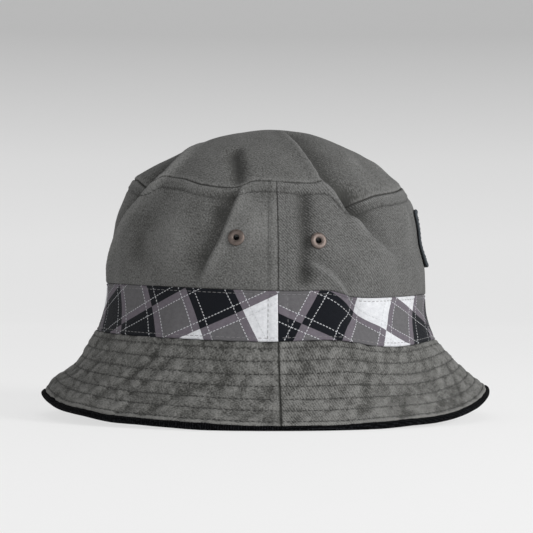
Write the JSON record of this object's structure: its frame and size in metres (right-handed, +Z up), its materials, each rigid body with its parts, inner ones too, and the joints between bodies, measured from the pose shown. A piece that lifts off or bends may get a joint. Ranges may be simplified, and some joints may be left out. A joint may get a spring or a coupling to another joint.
{
  "type": "bucket hat",
  "caption": "Soft lined bucket hat with a domed crown, printed band, stitched sloping brim, side eyelets and a blank front patch.",
  "frame": {"origin": "on the table, under the middle of the hat standing on its brim", "axes": "+Z up through the crown, +X to the wearer's front where the patch is, +Y to the wearer's left"},
  "size_m": [0.2803, 0.2406, 0.1777],
  "materials": {
    "grey_twill": "washed grey cotton twill, matt",
    "black_twill": "black cotton twill, matt",
    "printed_cotton": "black, grey and white printed check cut on the bias, with pick stitching",
    "interlining": "unbleached stiffening cloth",
    "antique_metal": "antique bronze plating, satin",
    "satin_ribbon": "white satin ribbon",
    "badge_cloth": "dark slate woven cloth, blank"
  },
  "bodies": {
    "hat": {"brim_interlining_back": "interlining", "brim_interlining_front": "interlining", "brim_lower_back": "black_twill", "brim_lower_front": "black_twill", "brim_upper_back": "grey_twill", "brim_upper_front": "grey_twill", "crown_side_back": "grey_twill", "crown_side_front": "grey_twill", "crown_tip": "grey_twill", "eyelet_left_back": "antique_metal", "eyelet_left_front": "antique_metal", "eyelet_right_back": "antique_metal", "eyelet_right_front": "antique_metal", "eyelet_washer_left_back": "antique_metal", "eyelet_washer_left_front": "antique_metal", "eyelet_washer_right_back": "antique_metal", "eyelet_washer_right_front": "antique_metal", "lining_side_back": "black_twill", "lining_side_front": "black_twill", "lining_tip": "black_twill", "plaid_band_back": "printed_cotton", "plaid_band_front": "printed_cotton", "sweatband": "black_twill"},
    "badge": {"badge_backing": "black_twill", "badge_face": "badge_cloth"},
    "care_label": {"care_label": "satin_ribbon"}
  },
  "joints": [
    {"name": "badge_lift", "type": "hinge", "parent": "hat", "child": "badge", "pos_m": [0.09014, 0, 0.13019], "axis": [0, -1, 0], "range_deg": [0, 90]},
    {"name": "care_label_swing", "type": "hinge", "parent": "hat", "child": "care_label", "pos_m": [-0.08817, 0, 0.1177], "axis": [0, -1, 0], "range_deg": [0, 100]}
  ]
}
